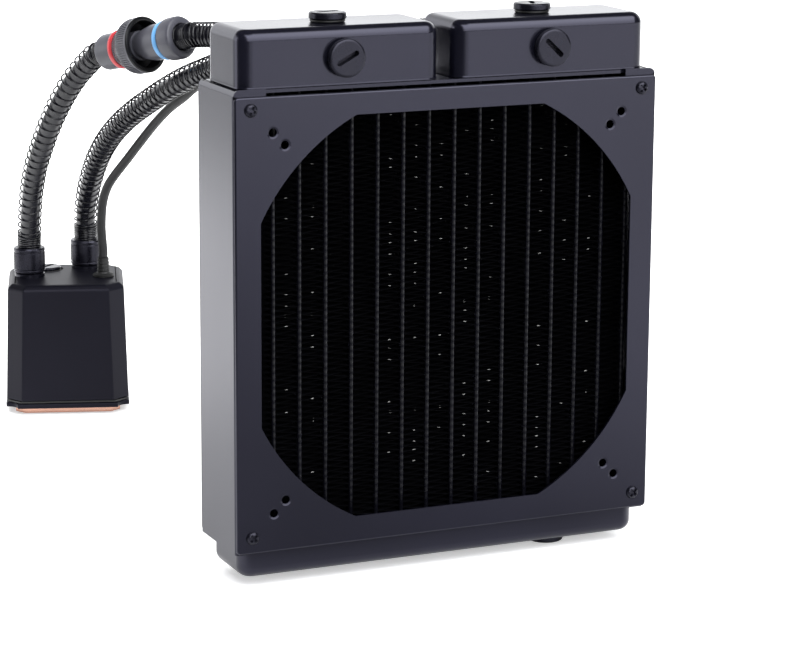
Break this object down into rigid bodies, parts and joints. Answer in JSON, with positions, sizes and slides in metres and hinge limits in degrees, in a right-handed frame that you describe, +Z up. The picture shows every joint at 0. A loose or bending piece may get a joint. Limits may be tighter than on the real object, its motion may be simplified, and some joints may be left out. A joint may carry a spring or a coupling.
{
  "type": "all in one liquid cooler for a computer processor",
  "caption": "Closed loop liquid cooler: square radiator with two top tanks, pump block with copper cold plate, two spring wrapped hoses and a quick coupling.",
  "frame": {"origin": "middle of the footprint, on the surface that the cooler stands on", "axes": "+Z up, the radiator's fan face looks along -Y, +X to the right seen from there"},
  "size_m": [0.204, 0.406, 0.252],
  "materials": {
    "black_steel": "satin black paint",
    "dark_tube": "matt black paint on soldered brass and copper",
    "black_metal": "satin black plating",
    "rubber": "matt",
    "hose": "black hose in a black wound spring",
    "sleeving": "braided sleeve",
    "grey_plastic": "moulded",
    "red_plastic": "moulded",
    "blue_plastic": "moulded",
    "pump_plastic": "fine grain",
    "copper": "polished copper",
    "steel": "ground",
    "board": "coated"
  },
  "bodies": {
    "cooler": {"back_plate": "black_steel", "back_screw_1": "black_metal", "back_screw_2": "black_metal", "back_screw_3": "black_metal", "back_screw_4": "black_metal", "base_frame": "black_metal", "base_seal": "rubber", "bottom_tank": "black_steel", "cable_gland": "rubber", "cable_plug": "rubber", "circuit_board": "board", "cold_plate": "copper", "coupling_blue_ring": "blue_plastic", "coupling_insert": "grey_plastic", "coupling_red_ring": "red_plastic", "coupling_socket": "grey_plastic", "fitting_inlet_body": "black_metal", "fitting_inlet_nut": "black_metal", "fitting_left_body": "black_metal", "fitting_left_nut": "black_metal", "fitting_outlet_body": "black_metal", "fitting_outlet_nut": "black_metal", "fitting_right_body": "black_metal", "fitting_right_nut": "black_metal", "front_plate": "black_steel", "front_screw_1": "black_metal", "front_screw_2": "black_metal", "front_screw_3": "black_metal", "front_screw_4": "black_metal", "hose_pump_side": "hose", "hose_radiator_side": "hose", "hose_return": "hose", "lower_header": "black_steel", "pump_cable": "sleeving", "pump_chamber": "pump_plastic", "pump_shell": "pump_plastic", "radiator_core": "dark_tube", "rotor_can": "pump_plastic", "rotor_shaft": "steel", "side_panel_left": "black_steel", "side_panel_right": "black_steel", "stator": "steel", "top_cover": "pump_plastic", "top_tank_left": "black_steel", "top_tank_right": "black_steel", "upper_header": "black_steel"},
    "pump_rotor": {"rotor": "black_metal"},
    "coupling_collar": {"coupling_sleeve": "grey_plastic"},
    "seal_front_left": {"seal_front_left": "rubber"},
    "plug_front_left": {"plug_front_left": "black_metal"},
    "seal_front_right": {"seal_front_right": "rubber"},
    "plug_front_right": {"plug_front_right": "black_metal"},
    "seal_top_left": {"seal_top_left": "rubber"},
    "plug_top_left": {"plug_top_left": "black_metal"},
    "seal_top_right": {"seal_top_right": "rubber"},
    "plug_top_right": {"plug_top_right": "black_metal"},
    "seal_drain": {"seal_drain": "rubber"},
    "plug_drain": {"plug_drain": "black_metal"},
    "seal_filler": {"seal_filler": "rubber"},
    "plug_filler": {"plug_filler": "black_metal"}
  },
  "joints": [
    {"name": "rotor_spin", "type": "hinge", "parent": "cooler", "child": "pump_rotor", "pos_m": [-0.0618, 0.16281, 0.03], "axis": [0, 0, 1], "continuous": true},
    {"name": "collar_turn", "type": "hinge", "parent": "cooler", "child": "coupling_collar", "pos_m": [-0.0669, 0.0719, 0.205], "axis": [0.4231, -0.8782, 0.2231], "continuous": true},
    {"name": "plug_front_left_lift", "type": "slide", "parent": "cooler", "child": "seal_front_left", "axis": [0, -1, 0], "range_m": [0, 0.00535]},
    {"name": "plug_front_left_turn", "type": "hinge", "parent": "seal_front_left", "child": "plug_front_left", "pos_m": [-0.0498, -0.19748, 0.2341], "axis": [0, -1, 0], "range_deg": [0, 1440]},
    {"name": "plug_front_right_lift", "type": "slide", "parent": "cooler", "child": "seal_front_right", "axis": [0, -1, 0], "range_m": [0, 0.00535]},
    {"name": "plug_front_right_turn", "type": "hinge", "parent": "seal_front_right", "child": "plug_front_right", "pos_m": [0.0498, -0.19748, 0.2341], "axis": [0, -1, 0], "range_deg": [0, 1440]},
    {"name": "plug_top_left_lift", "type": "slide", "parent": "cooler", "child": "seal_top_left", "axis": [0, 0, 1], "range_m": [0, 0.00535]},
    {"name": "plug_top_left_turn", "type": "hinge", "parent": "seal_top_left", "child": "plug_top_left", "pos_m": [-0.0498, -0.17888, 0.2475], "axis": [0, 0, 1], "range_deg": [0, 1440]},
    {"name": "plug_top_right_lift", "type": "slide", "parent": "cooler", "child": "seal_top_right", "axis": [0, 0, 1], "range_m": [0, 0.00535]},
    {"name": "plug_top_right_turn", "type": "hinge", "parent": "seal_top_right", "child": "plug_top_right", "pos_m": [0.0498, -0.17888, 0.2475], "axis": [0, 0, 1], "range_deg": [0, 1440]},
    {"name": "plug_drain_lift", "type": "slide", "parent": "cooler", "child": "seal_drain", "axis": [0, 0, -1], "range_m": [0, 0.00535]},
    {"name": "plug_drain_turn", "type": "hinge", "parent": "seal_drain", "child": "plug_drain", "pos_m": [0.061, -0.17888, 0.0045], "axis": [0, 0, -1], "range_deg": [0, 1440]},
    {"name": "plug_filler_lift", "type": "slide", "parent": "cooler", "child": "seal_filler", "axis": [0, 0, 1], "range_m": [0, 0.00535]},
    {"name": "plug_filler_turn", "type": "hinge", "parent": "seal_filler", "child": "plug_filler", "pos_m": [-0.0661, 0.18293, 0.0697], "axis": [0, 0, 1], "range_deg": [0, 1440]}
  ],
  "couplings": [
    {"joint": "plug_front_left_turn", "follows": "plug_front_left_lift", "rad_per_m": 4699.5},
    {"joint": "plug_front_right_turn", "follows": "plug_front_right_lift", "rad_per_m": 4699.5},
    {"joint": "plug_top_left_turn", "follows": "plug_top_left_lift", "rad_per_m": 4699.5},
    {"joint": "plug_top_right_turn", "follows": "plug_top_right_lift", "rad_per_m": 4699.5},
    {"joint": "plug_drain_turn", "follows": "plug_drain_lift", "rad_per_m": 4699.5},
    {"joint": "plug_filler_turn", "follows": "plug_filler_lift", "rad_per_m": 4699.5}
  ]
}
